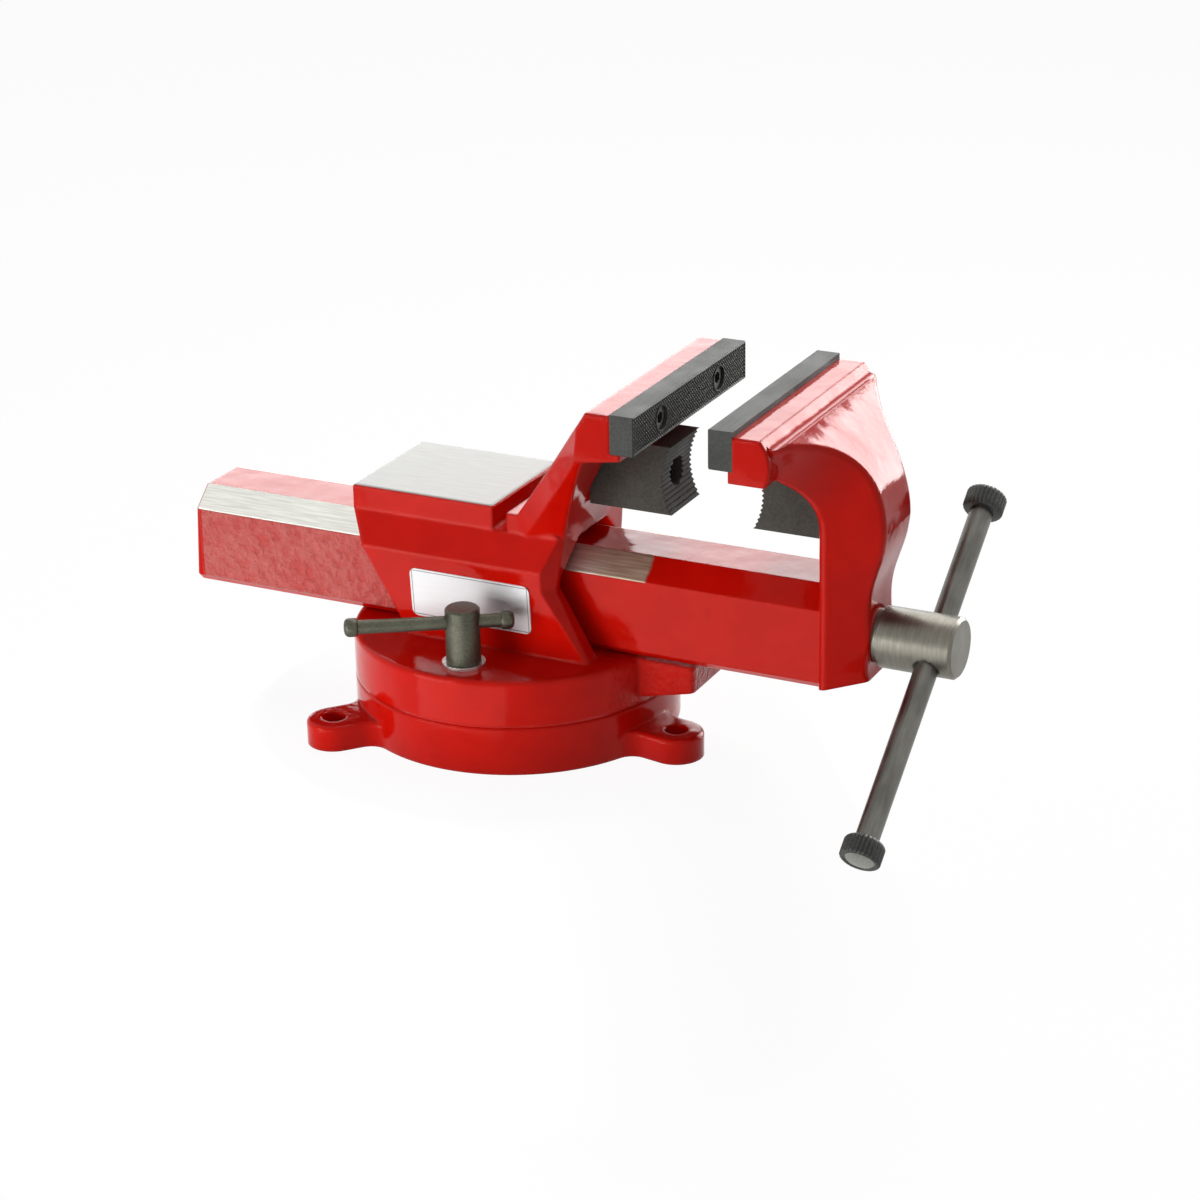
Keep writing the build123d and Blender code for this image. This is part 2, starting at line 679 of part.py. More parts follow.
def pipe_jaw(tip_x, seat_x):
    """A pipe jaw: a block with a hollow, toothed face across the grip."""
    back = 1 if seat_x > tip_x else -1
    face = []
    for i in range(2 * pipe_teeth + 1):
        step = i / (2 * pipe_teeth)
        depth = pipe_hollow * 4 * step * (1 - step) + pipe_tooth_depth * (i % 2)
        face.append((tip_x + back * depth, pipe_foot_z + step * pipe_h))
    front_x = tip_x - back * cut_over
    front = [(front_x, pipe_foot_z + pipe_h), (front_x, pipe_foot_z)]
    block = pipe_jaw_block(tip_x, seat_x, 0, 0) - side_prism([*face, *front], 2 * pipe_half_w)
    hole = (front_x, 0, pipe_mid_z)
    sink = cut_over + pipe_screw_sink + pipe_screw_head_h
    block -= rod(pipe_screw_r + hole_clear, hole, (back, 0, 0), abs(seat_x - tip_x) + 2 * cut_over)
    block -= rod(pipe_screw_head_r + hole_clear, hole, (back, 0, 0), sink)
    return block


def pipe_screw(tip_x, seat_x):
    back = 1 if seat_x > tip_x else -1
    sink = pipe_screw_sink + pipe_screw_head_h
    shank = abs(seat_x - tip_x) - sink + pipe_screw_grip
    under_head = (tip_x + back * sink, 0, pipe_mid_z)
    return socket_screw(pipe_screw_head_r, pipe_screw_head_h, pipe_screw_r, shank, under_head, (back, 0, 0))


def lead_screw():
    """The screw and its round head, drilled across for the handle and for the collar's pin."""
    screw = rod(screw_r, (screw_rear_x, 0, screw_z), (1, 0, 0), screw_shoulder_x - screw_rear_x)
    screw = chamfer(screw.edges().group_by(Axis.X)[0], screw_end_chamfer)
    head = rod(screw_head_r, (screw_shoulder_x, 0, screw_z), (1, 0, 0), screw_head_l)
    screw += chamfer(head.edges().group_by(Axis.X)[-1], screw_head_edge)
    screw -= along_handle(handle_r + run_clear, -2 * screw_head_r, 2 * screw_head_r)
    return screw - across_collar(collar_pin_r + seat_clear, screw_collar_r + cut_over)


def along_handle(radius, start, end):
    """A round bar on the handle's axis, between two distances from the screw axis."""
    along = Vector(0, cos(radians(handle_turn_deg)), sin(radians(handle_turn_deg)))
    return rod(radius, Vector(handle_x, 0, screw_z) + along * start, along, end - start)


def handle_bar():
    reach = handle_cap_grip - handle_cap_h / 2
    return along_handle(handle_r, -handle_down - reach, handle_up + reach)


def handle_cap(middle):
    """A cap on one end of the handle, bored for the bar; middle is its place on the handle's axis."""
    half = handle_cap_h / 2
    inner = -1 if middle > 0 else 1
    cap = along_handle(handle_cap_r, middle - half, middle + half)
    cap = chamfer(cap.edges().filter_by(GeomType.CIRCLE), handle_cap_edge)
    bore = sorted((middle + inner * (half + cut_over), middle + inner * (half - handle_cap_grip)))
    return cap - along_handle(handle_r + seat_clear, *bore)


def thrust_washer():
    washer = rod(thrust_washer_r, (arm_front_x, 0, screw_z), (1, 0, 0), thrust_washer_t - slide_clear)
    behind = (arm_front_x - cut_over, 0, screw_z)
    return washer - rod(screw_r + run_clear, behind, (1, 0, 0), thrust_washer_t + 2 * cut_over)


def collar_x():
    """Middle of the collar that holds the screw in the moving jaw."""
    return beam_cavity_x - slide_clear - screw_collar_l / 2


def screw_collar():
    start = (collar_x() - screw_collar_l / 2, 0, screw_z)
    collar = rod(screw_collar_r, start, (1, 0, 0), screw_collar_l)
    collar -= rod(screw_r + seat_clear, start, (1, 0, 0), screw_collar_l)
    return collar - across_collar(collar_pin_r + seat_clear, screw_collar_r + cut_over)


def across_collar(radius, half):
    """A round bar across the middle of the collar, for its pin and the pin's hole."""
    return rod(radius, (collar_x(), 0, screw_z - half), (0, 0, 1), 2 * half)


def lead_nut():
    """The fixed nut that stands on the turntable inside the beam."""
    foot = beam_foot - slide_clear
    nut = cross_prism(mirrored([(nut_half_w, foot), (nut_half_w, screw_z + screw_r + nut_roof)]),
                      -nut_half_l, nut_half_l)
    nut = fillet(nut.edges().filter_by(Axis.X).group_by(Axis.Z)[-1], nut_roof)
    nut -= rod(screw_r + run_clear, (-2 * nut_half_l, 0, screw_z), (1, 0, 0), 4 * nut_half_l)
    for x in (-nut_bolt_x, nut_bolt_x):
        thread_l = nut_bolt_grip + screw_end_room
        nut -= rod(nut_bolt_r + seat_clear, (x, 0, foot - cut_over), (0, 0, 1), cut_over + thread_l)
    return nut


def nut_bolt(x):
    shank = beam_foot - slide_clear - nut_bolt_seat + nut_bolt_grip
    return socket_screw(nut_bolt_head_r, nut_bolt_head_h, nut_bolt_r, shank, (x, 0, nut_bolt_seat), (0, 0, 1))


def lock_stud(side):
    """The stud whose square head runs in the ring slot of the base."""
    foot = base_h - lock_slot_lip - slide_clear - lock_head_h
    outward = Rot(0, 0, side * degrees(atan2(lock_y, lock_x)))
    head = outward * Box(lock_head_w, lock_head_w, lock_head_h)
    head = Pos(lock_x, side * lock_y, foot + lock_head_h / 2) * head
    stud_top = table_top + lock_stud_stand
    return head + rod(lock_stud_r, (lock_x, side * lock_y, foot), (0, 0, 1), stud_top - foot)


def lock_washer(side):
    at = (lock_x, side * lock_y, table_top)
    washer = rod(lock_washer_r, at, (0, 0, 1), lock_washer_h)
    return washer - rod(lock_stud_r + hole_clear, at, (0, 0, 1), lock_washer_h)


def lock_nut(side):
    """The tall round nut, with a blind thread below and a cross hole for the lever."""
    foot = table_top + lock_washer_h + slide_clear
    nut = rod(lock_nut_r, (lock_x, side * lock_y, foot), (0, 0, 1), lock_nut_h)
    nut = chamfer(nut.edges().group_by(Axis.Z)[-1], lock_nut_edge)
    below = (lock_x, side * lock_y, foot - cut_over)
    bore_top = table_top + lock_stud_stand + lock_nut_room
    nut -= rod(lock_stud_r + run_clear, below, (0, 0, 1), bore_top - foot + cut_over)
    return nut - along_lever(side, lever_r + run_clear, -2 * lock_nut_r, 2 * lock_nut_r)


def along_lever(side, radius, start, end):
    """A round bar on a lock lever's axis; the short end is the positive one, towards the housing."""
    turn = radians(lever_turn_deg)
    along = Vector(cos(turn), -side * sin(turn), 0)
    middle = Vector(lock_x, side * lock_y, table_top + lever_z)
    return rod(radius, middle + along * start, along, end - start)


def lock_lever(side):
    reach = lever_cap_grip - lever_cap_h / 2
    return along_lever(side, lever_r, -lever_long - reach, lever_short + reach)


def lever_cap(side, middle):
    half = lever_cap_h / 2
    inner = -1 if middle > 0 else 1
    cap = along_lever(side, lever_cap_r, middle - half, middle + half)
    cap = fillet(cap.edges().filter_by(GeomType.CIRCLE), lever_cap_edge)
    bore = sorted((middle + inner * (half + cut_over), middle + inner * (half - lever_cap_grip)))
    return cap - along_lever(side, lever_r + seat_clear, *bore)


def name_plate():
    """The blank plate on the lower side face of the housing."""
    rise = Vector(0, house_foot_half_w - house_ridge_half_w, house_ridge_h + cast_join).normalized()
    out = rise.cross(Vector(1, 0, 0)) * -1
    foot = Vector(label_x, -house_foot_half_w, table_top - cast_join)
    middle = foot + rise * (label_foot_h + cast_join + label_h / 2)
    face = Plane(origin=middle, x_dir=(1, 0, 0), z_dir=out) * RectangleRounded(label_w, label_h, label_corner)
    return extrude(face, label_t)


def all_parts():
    parts = {
        "swivel_base": swivel_base(),
        "pivot_pin": pivot_pin(),
        "rear_body": rear_body(),
        "name_plate": name_plate(),
        "lead_nut": lead_nut(),
        "nut_bolt_rear": nut_bolt(-nut_bolt_x),
        "nut_bolt_front": nut_bolt(nut_bolt_x),
        "fixed_jaw_plate": jaw_plate(fixed_face_x, -1),
        "fixed_pipe_jaw": pipe_jaw(pipe_fixed_x, pipe_fixed_seat_x),
        "fixed_pipe_screw": pipe_screw(pipe_fixed_x, pipe_fixed_seat_x),
        "sliding_jaw": sliding_jaw(),
        "moving_jaw_plate": jaw_plate(moving_face_x, 1),
        "moving_pipe_jaw": pipe_jaw(pipe_moving_x, pipe_moving_seat_x),
        "moving_pipe_screw": pipe_screw(pipe_moving_x, pipe_moving_seat_x),
        "lead_screw": lead_screw(),
        "thrust_washer": thrust_washer(),
        "screw_collar": screw_collar(),
        "collar_pin": across_collar(collar_pin_r, screw_collar_r - collar_pin_sink),
        "handle_bar": handle_bar(),
        "handle_cap_upper": handle_cap(handle_up),
        "handle_cap_lower": handle_cap(-handle_down),
    }
    for name, side in (("near", -1), ("far", 1)):
        parts[f"fixed_jaw_screw_{name}"] = plate_screw(fixed_face_x, -1, side)
        parts[f"moving_jaw_screw_{name}"] = plate_screw(moving_face_x, 1, side)
        parts[f"lock_stud_{name}"] = lock_stud(side)
        parts[f"lock_washer_{name}"] = lock_washer(side)
        parts[f"lock_nut_{name}"] = lock_nut(side)
        parts[f"lock_lever_{name}"] = lock_lever(side)
        parts[f"lever_cap_short_{name}"] = lever_cap(side, lever_short)
        parts[f"lever_cap_long_{name}"] = lever_cap(side, -lever_long)
    return parts


os.makedirs("parts", exist_ok=True)
for node, solid in all_parts().items():
    solid.label = node
    export_step(solid, f"parts/{node}.step")
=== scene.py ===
import json
import math

import bpy
import numpy as np
from mathutils import Matrix, Vector


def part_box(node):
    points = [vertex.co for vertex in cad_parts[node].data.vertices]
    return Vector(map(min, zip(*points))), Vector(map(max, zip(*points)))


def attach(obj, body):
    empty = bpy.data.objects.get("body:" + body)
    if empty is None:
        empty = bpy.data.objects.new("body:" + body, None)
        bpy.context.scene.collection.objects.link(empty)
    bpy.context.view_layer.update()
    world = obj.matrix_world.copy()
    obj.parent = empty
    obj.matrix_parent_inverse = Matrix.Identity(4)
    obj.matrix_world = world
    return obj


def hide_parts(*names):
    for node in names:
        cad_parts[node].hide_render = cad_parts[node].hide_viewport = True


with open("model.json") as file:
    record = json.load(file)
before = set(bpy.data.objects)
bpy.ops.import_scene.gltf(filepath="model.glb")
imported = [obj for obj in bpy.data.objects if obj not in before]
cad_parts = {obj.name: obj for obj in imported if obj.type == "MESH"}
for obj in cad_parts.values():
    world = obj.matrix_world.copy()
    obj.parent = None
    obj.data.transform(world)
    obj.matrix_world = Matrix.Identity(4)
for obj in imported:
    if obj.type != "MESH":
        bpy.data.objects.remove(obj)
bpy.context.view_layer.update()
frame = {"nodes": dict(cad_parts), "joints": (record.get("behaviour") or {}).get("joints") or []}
nodes = frame["nodes"]
MM = 0.001

# Camera, fitted to the photograph: a square frame and a long lens
CAMERA_TURN_DEG = 26.507
CAMERA_RISE_DEG = 22.120
CAMERA_ROLL_DEG = -0.983
CAMERA_DISTANCE = 1.8686
CAMERA_LENS_MM = 94.353
SENSOR_MM = 36.0
ORIGIN_IN_FRAME = (-0.06701, -0.08850)      # swivel axis from the middle of the frame, in frame widths

# Lead screw
SCREW_AXIS_Z = 84.5 * MM
SCREW_CREST_R = 13.0 * MM
SCREW_PITCH = 6.0 * MM
SCREW_THREAD_DEPTH = 2.8 * MM
SCREW_THREAD_END_X = 182.0 * MM
SCREW_POINT = 2.0 * MM              # chamfer of the inner end
SCREW_STEP = 0.5 * MM               # between rows of points along the thread
SCREW_COLUMNS = 96
THREAD_HALF_ROOT = 0.16             # in pitches
THREAD_FLANK = 0.13                 # in pitches
THREAD_RUN_IN = 3.0 * MM
THREAD_FIRST_DEPTH = 0.35           # share of the depth at the inner end
THREAD_RUN_OUT = 4.0 * MM
HEAD_GAP = 0.12 * MM                # from the thrust washer to the head
HEAD_EDGE = 1.6 * MM
HEAD_ROWS = 90
CROSS_HOLE_R = 8.0 * MM             # where the head starts to dip towards the handle's hole
CROSS_HOLE_SLOPE = 1.2 * MM
CROSS_HOLE_DIP = 1.3 * MM

# Jaw plates
SERRATION_PITCH = 2.4 * MM
SERRATION_DEPTH = 0.8 * MM
SERRATION_FADE = 1.0 * MM           # over which the grooves run out at the plate's edges
PLATE_EDGE = 0.6 * MM
PLATE_COLUMNS = 430
PLATE_ROWS = 66
PLATE_HOLE_CUT = 7.3 * MM           # quads this near to a screw's axis give way to the hole
PLATE_HOLE_COLUMNS = 40
PLATE_HOLE = ((7.7, 0.0), (6.9, 0.0), (6.9, 7.5), (4.4, 7.5))       # radius and depth in mm

# Caps, with height and radius in mm
HANDLE_CAP = (
    (-6.5, 0.0), (-6.5, 9.9), (-6.1, 10.6), (-5.2, 11.3), (-4.4, 11.6), (-2.0, 11.6), (0.5, 11.6), (3.0, 11.6),
    (4.2, 11.6), (5.0, 11.2), (5.6, 10.4), (5.7, 9.4), (5.4, 8.8), (4.9, 8.5), (5.0, 8.1), (5.6, 7.4),
    (6.05, 5.8), (6.35, 3.6), (6.5, 1.6), (6.5, 0.0),
)
HANDLE_CAP_DOME = 13                # the profile's point at which the bright dome starts
RIBS = 28
RIB_COLUMNS = 8
RIB_DEPTH = 0.75 * MM
RIB_FOOT_R = 10.2 * MM              # ribs grow from this radius outwards
RIB_FADE = 1.0 * MM
LEVER_CAP = (
    (-4.0, 0.0), (-4.0, 4.3), (-3.7, 4.8), (-3.1, 5.2), (-2.3, 5.4), (0.9, 5.4), (1.9, 5.2), (2.7, 4.7),
    (3.3, 4.0), (3.7, 3.0), (3.9, 1.8), (4.0, 0.0),
)
LEVER_CAP_COLUMNS = 48

# Places where the castings are machined bare or left rough
BEAM_STRIP_SUM = 133.22 * MM        # |y| + z on the chamfers of the beam
BEAM_STRIP_END_X = 98.0 * MM
BEAM_HALF_W = 28.1 * MM
BEAM_REAR_X = -201.0 * MM
ANVIL_Z = 142.12 * MM
ANVIL_FRONT_X = 8.0 * MM
NOSE_X = 60.0 * MM
NOSE_HALF_W = 50.0 * MM
NOSE_MID_Z = 25.0 * MM
GRAIN_TRACE = 0.008                 # strength of the sand grain where the castings are smooth
BASE_GRAIN = 0.015

# Paint and metal
RED = (0.62, 0.0055, 0.0015, 1)
DEEP_RED = (0.57, 0.0045, 0.0012, 1)
# pale dusty red: partly dust on the rough casting, partly painted sheen of the gloss on its grit
DUST_AND_SHEEN_RED = (0.70, 0.16, 0.145, 1)
PAINT_IOR = 1.32
PAINT_SHEEN = (1.0, 0.40, 0.35, 1)  # colour of the gloss where it is seen straight on
PAINT_BUMP = 0.0011                 # depths of bumps, in metres
STEEL_BUMP = 0.00006
LABEL_BUMP = 0.00003
PAINT_WAVES = 38                    # scales of noise, in features per metre
PAINT_PEEL = 190
PAINT_SHADES = 60
PAINT_CLOUDS = 90
CAST_GRIT = 190
# patches of dust and painted sheen
DUST_AND_SHEEN_PATCHES = 42
STEEL_STREAKS = 700
STEEL_CLOUDS = 45
MILLED_LINES = 900
LABEL_LINES = 1500
STRIP_END_WANDER = 120
# bright milled steel, and a darker brown copy of it towards the front end of the milling as painted shade of the jaw
STRIP_BRIGHT = ((0.66, 0.66, 0.61, 1), (0.82, 0.82, 0.76, 1))
STRIP_SHADED = ((0.33, 0.25, 0.18, 1), (0.52, 0.42, 0.32, 1))
STRIP_SHADE_X = (40.0 * MM, 75.0 * MM)
STRIP_ROUGHNESS = 0.45
ANVIL_GREYS = ((0.41, 0.41, 0.39, 1), (0.47, 0.47, 0.445, 1))
ANVIL_ROUGHNESS = 0.40
ANVIL_METALLIC = 0.12
LABEL_SATIN = ((0.72, 0.72, 0.73, 1), (0.82, 0.82, 0.83, 1))
LABEL_LINE = (0.30, 0.30, 0.31, 1)
LABEL_LINE_FROM = 1.0 * MM          # the border's line, as distances from the edge
LABEL_LINE_TO = 1.6 * MM
WHITE = (1, 1, 1, 1)

# Floor and light
STAND_FLAT_R = 0.15
STAND_STEP_W = 0.10
STAND_DROP = 0.145
STAND_GAP = 0.0004                  # under the base
STAND_COLUMNS = 96
FLOOR_PALE = (0.80, 0.80, 0.80, 1)
FLOOR_SHADE = (0.10, 0.10, 0.10, 1)
FLOOR_GLOW = 0.93
SOFT_LIGHT = 0.30
LAMP_AIM = (0, 0, 0.1)


def grid_faces(rows, columns, wrap=False):
    """Quads of a grid of rows by columns of points; wrap joins the last column to the first."""
    i = np.arange(rows - 1)[:, None]
    j = np.arange(columns if wrap else columns - 1)[None, :]
    k = (j + 1) % columns
    quads = np.stack([i * columns + j, i * columns + k, (i + 1) * columns + k, (i + 1) * columns + j], -1)
    return quads.reshape(-1, 4)


def make_piece(name, points, faces, body, finishes, face_finish=None, smooth_deg=35.0, lids=()):
    """A mesh from an array of points and an array of quads, riding on a CAD body; lids are larger flat faces."""
    mesh = bpy.data.meshes.new(name)
    mesh.from_pydata(points.reshape(-1, 3), [], [*faces.tolist(), *lids])
    for finish in finishes:
        mesh.materials.append(finish)
    if face_finish is not None:
        mesh.polygons.foreach_set("material_index", face_finish.astype(np.int32))
    mesh.validate()
    mesh.shade_smooth()
    mesh.set_sharp_from_angle(angle=math.radians(smooth_deg))
    piece = bpy.data.objects.new(name, mesh)
    bpy.context.scene.collection.objects.link(piece)
    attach(piece, body)
    return piece


def axis_frame(along):
    """Two unit vectors square to a direction and to each other, so that they and it turn right-handed."""
    along = np.array(along, float)
    along /= np.linalg.norm(along)
    side = np.cross(along, (1.0, 0.0, 0.0) if abs(along[0]) < 0.9 else (0.0, 1.0, 0.0))
    side /= np.linalg.norm(side)
    return side, np.cross(along, side), along


def revolved(middle, along, height, radius):
    """Points at each height along an axis and each angle round it, at the given radius.

    height and radius are arrays of rows by columns, one column for each angle of a full turn.
    """
    side, up, along = axis_frame(along)
    angle = np.linspace(0, 2 * np.pi, radius.shape[1], endpoint=False)[None, :, None]
    round_axis = np.cos(angle) * side + np.sin(angle) * up
    return np.array(middle) + height[..., None] * along + radius[..., None] * round_axis


def joint_axis(name):
    """The direction of a joint of the frame."""
    return next(joint["axis"] for joint in frame["joints"] if joint["name"] == name)


class Finish:
    """A material in the making: each call adds one shader node."""

    def __init__(self, name):
        self.material = bpy.data.materials.new(name)
        self.material.use_nodes = True
        self.tree = self.material.node_tree
        self.tree.nodes.clear()
        self.place = self.add("TexCoord").outputs["Object"]

    def add(self, kind, inputs=None, **settings):
        """Adds a node; inputs gives a constant or another node's output for each socket."""
        node = self.tree.nodes.new("ShaderNode" + kind)
        for key, value in settings.items():
            setattr(node, key, value)
        for key, value in (inputs or {}).items():
            if isinstance(value, bpy.types.NodeSocket):
                self.tree.links.new(value, node.inputs[key])
            else:
                node.inputs[key].default_value = value
        return node

    def math(self, operation, *values):
        return self.add("Math", dict(enumerate(values)), operation=operation).outputs[0]

    def ramp(self, value, low, high, to_low=0.0, to_high=1.0):
        """A value between two limits, spread over another range and held at its ends."""
        return self.add("MapRange", {0: value, 1: low, 2: high, 3: to_low, 4: to_high}).outputs[0]

    def mix(self, factor, first, second):
        return self.add("Mix", {0: factor, 6: first, 7: second}, data_type="RGBA").outputs[2]

    def noise(self, scale, detail=2.0, stretch=(1, 1, 1), rough=0.5):
        """Noise on object coordinates; scale is features per metre, and stretch multiplies it along each axis."""
        place = self.add("Mapping", {"Vector": self.place, "Scale": stretch}).outputs[0]
        return self.add("TexNoise", {"Vector": place, "Scale": scale, "Detail": detail, "Roughness": rough}).outputs[0]

    def axes(self):
        return self.add("SeparateXYZ", {0: self.place}).outputs

    def finish(self, color, metallic, roughness, height, depth, sheen=WHITE, round_r=0.0, **constants):
        """Ends the material: height is a bump of the given depth in metres over edges rounded by round_r."""
        bump = {"Height": height, "Strength": 1.0, "Distance": depth}
        if round_r:
            bump["Normal"] = self.add("Bevel", {"Radius": round_r}, samples=4).outputs[0]
        normal = self.add("Bump", bump).outputs[0]
        inputs = {"Base Color": color, "Metallic": metallic, "Roughness": roughness, "Normal": normal}
        shader = self.add("BsdfPrincipled", {**inputs, "Specular Tint": sheen, **constants})
        self.add("OutputMaterial", {"Surface": shader.outputs[0]})
        return self.material


def red_paint(name, grain, bare=None, metal=None, round_r=1.6 * MM):
    """Gloss paint over a sand casting: slow waves, fine peel, and grain where the casting is rough, paled there by dust
    and by painted sheen.

    grain gives the strength of the sand grain at a place, bare the share of machined metal there, and metal the
    colour, the roughness and the metallic share of that metal.
    """
    f = Finish(name)
    waves = f.noise(PAINT_WAVES, 1.5)
    peel = f.noise(PAINT_PEEL, 2.0)
    height = f.math("MULTIPLY_ADD", peel, 0.06, f.math("MULTIPLY", waves, 0.7))
    rough_cast = grain(f)
    grit = f.noise(CAST_GRIT, 5.0, rough=0.62)
    sand = f.math("MULTIPLY", f.ramp(grit, 0.32, 0.66), rough_cast)
    height = f.math("MULTIPLY_ADD", sand, 1.7, height)
    color = f.mix(f.ramp(f.noise(PAINT_SHADES, 3.0), 0.35, 0.65), DEEP_RED, RED)
    # pale patches of dust and painted sheen, fuller on the grit's highs and thinner in its pits: painted highlight on
    # the bumps, painted shade in the pits
    patches = f.ramp(f.noise(DUST_AND_SHEEN_PATCHES, 3.0), 0.35, 0.62, 0.8, 1.0)
    patches = f.math("MULTIPLY", patches, f.ramp(grit, 0.36, 0.56, 0.6, 1.0))
    dust_and_sheen = f.math("MULTIPLY", f.ramp(rough_cast, 0.6, 0.9), patches)
    color = f.mix(dust_and_sheen, color, DUST_AND_SHEEN_RED)
    roughness = f.ramp(f.noise(PAINT_CLOUDS, 2.0), 0.3, 0.7, 0.07, 0.13)
    if bare is None:
        return f.finish(color, 0.0, roughness, height, PAINT_BUMP, PAINT_SHEEN, round_r=round_r, IOR=PAINT_IOR)
    share = bare(f)
    metal_color, metal_roughness, metallic = metal(f)
    color = f.mix(share, color, metal_color)
    roughness = f.add("Mix", {0: share, 2: roughness, 3: metal_roughness}).outputs[0]
    height = f.math("MULTIPLY", height, f.ramp(share, 0.0, 1.0, 1.0, 0.12))
    sheen = f.mix(share, PAINT_SHEEN, WHITE)
    metallic = f.math("MULTIPLY", share, metallic)
    return f.finish(color, metallic, roughness, height, PAINT_BUMP, sheen, round_r=round_r, IOR=PAINT_IOR)


def beam_strips(f):
    """Bare where a point lies on a chamfer of the beam, from its rear end to where the milling stops."""
    x, y, z = f.axes()
    off = f.math("ABSOLUTE", f.math("SUBTRACT", f.math("ADD", f.math("ABSOLUTE", y), z), BEAM_STRIP_SUM))
    on_chamfer = f.ramp(off, 0.25 * MM, 0.5 * MM, 1.0, 0.0)
    wander = f.math("MULTIPLY_ADD", f.noise(STRIP_END_WANDER, 3.0), 3 * MM, x)
    return f.math("MULTIPLY", on_chamfer, f.ramp(wander, BEAM_STRIP_END_X, BEAM_STRIP_END_X + 1.5 * MM, 1.0, 0.0))


def milled_lines(f):
    """Fine lines along X, between 0 and 1."""
    return f.ramp(f.noise(MILLED_LINES, 2.0, stretch=(0.05, 1, 1)), 0.35, 0.65)


def strip_metal(f):
    """Milled bright along the beam, and darker brown towards the end of the milling, which is painted shade of the jaw.
    """
    x, _, _ = f.axes()
    lines = milled_lines(f)
    bright = f.mix(lines, *STRIP_BRIGHT)
    # the darker brown copy is painted shade
    shaded = f.mix(lines, *STRIP_SHADED)
    return f.mix(f.ramp(x, *STRIP_SHADE_X), bright, shaded), STRIP_ROUGHNESS, 1.0


def anvil_metal(f):
    """Ground dull."""
    return f.mix(milled_lines(f), *ANVIL_GREYS), ANVIL_ROUGHNESS, ANVIL_METALLIC


def anvil_top(f):
    """Bare on the anvil's top face."""
    x, _, z = f.axes()
    high = f.ramp(z, ANVIL_Z - 0.5 * MM, ANVIL_Z - 0.2 * MM)
    return f.math("MULTIPLY", high, f.math("LESS_THAN", x, ANVIL_FRONT_X + 1 * MM))


def beam_grain(f):
    """Sand grain on the sides of the beam towards its rear end, and a trace of it over the rest."""
    x, y, _ = f.axes()
    on_side = f.ramp(f.math("ABSOLUTE", y), BEAM_HALF_W - 0.6 * MM, BEAM_HALF_W - 0.1 * MM)
    off_end = f.ramp(x, BEAM_REAR_X + 1.5 * MM, BEAM_REAR_X + 3.5 * MM)
    rear = f.math("MULTIPLY", f.ramp(x, 40 * MM, -60 * MM, 0.0, 0.9), off_end)
    return f.math("MAXIMUM", f.math("MULTIPLY", rear, on_side), GRAIN_TRACE)


def nose_grain(f):
    """Sand grain on the nose under the beam, and a trace of it over the rest."""
    x, y, z = f.axes()
    beside = f.math("MAXIMUM", f.math("ABSOLUTE", y), f.math("SUBTRACT", z, NOSE_MID_Z))
    ahead = f.ramp(x, NOSE_X, NOSE_X + 15 * MM)
    on_nose = f.math("MULTIPLY", ahead, f.ramp(beside, NOSE_HALF_W, NOSE_HALF_W - 6 * MM))
    return f.ramp(on_nose, 0.0, 1.0, GRAIN_TRACE, 0.4)


def steel(name, dark, light, roughness, streak=(1, 1, 1), metallic=1.0, ior=1.25):
    """Turned or ground steel: streaks between two greys, and a roughness that varies with them."""
    f = Finish(name)
    streaks = f.noise(STEEL_STREAKS, 3.0, streak)
    cloud = f.noise(STEEL_CLOUDS, 2.0)
    share = f.ramp(f.math("MULTIPLY_ADD", cloud, 0.6, f.math("MULTIPLY", streaks, 0.6)), 0.4, 0.8)
    color = f.mix(share, dark, light)
    rough = f.ramp(cloud, 0.3, 0.7, roughness - 0.06, roughness + 0.08)
    return f.finish(color, metallic, rough, streaks, STEEL_BUMP, round_r=0.4 * MM, IOR=ior)


def label_finish():
    """A satin plate with a thin printed border and nothing on it."""
    f = Finish("plain_label")
    low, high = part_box("name_plate")
    middle = (low + high) / 2
    half = (high - low) / 2
    x, _, z = f.axes()
    from_x = f.math("SUBTRACT", half.x, f.math("ABSOLUTE", f.math("SUBTRACT", x, middle.x)))
    from_z = f.math("SUBTRACT", half.z, f.math("ABSOLUTE", f.math("SUBTRACT", z, middle.z)))
    edge = f.math("MINIMUM", from_x, from_z)
    inside = f.math("GREATER_THAN", edge, LABEL_LINE_FROM)
    border = f.math("MULTIPLY", inside, f.math("LESS_THAN", edge, LABEL_LINE_TO))
    lines = f.noise(LABEL_LINES, 2.0, (0.04, 1, 1))
    color = f.mix(border, f.mix(lines, *LABEL_SATIN), LABEL_LINE)
    return f.finish(color, 0.35, f.ramp(lines, 0.3, 0.7, 0.34, 0.44), lines, LABEL_BUMP, round_r=0.3 * MM)


paint_fixed = red_paint("red_paint_fixed", nose_grain, anvil_top, anvil_metal, 3.0 * MM)
paint_moving = red_paint("red_paint_moving", beam_grain, beam_strips, strip_metal)
paint_base = red_paint("red_paint_base", lambda f: BASE_GRAIN, round_r=2.0 * MM)
plate_steel = steel("plate_steel", (0.045, 0.047, 0.043, 1), (0.085, 0.088, 0.080, 1), 0.50, (1, 0.1, 1), metallic=0.12)
pipe_steel = steel("pipe_steel", (0.060, 0.058, 0.050, 1), (0.105, 0.100, 0.088, 1), 0.52, metallic=0.0, ior=1.10)
turned_steel = steel("turned_steel", (0.13, 0.122, 0.10, 1), (0.20, 0.19, 0.162, 1), 0.36, (1, 0.15, 0.15))
bar_steel = steel("bar_steel", (0.10, 0.097, 0.085, 1), (0.165, 0.16, 0.145, 1), 0.34, (1, 0.1, 0.1))
dark_steel = steel("dark_steel", (0.055, 0.056, 0.050, 1), (0.11, 0.11, 0.10, 1), 0.40, metallic=0.7)
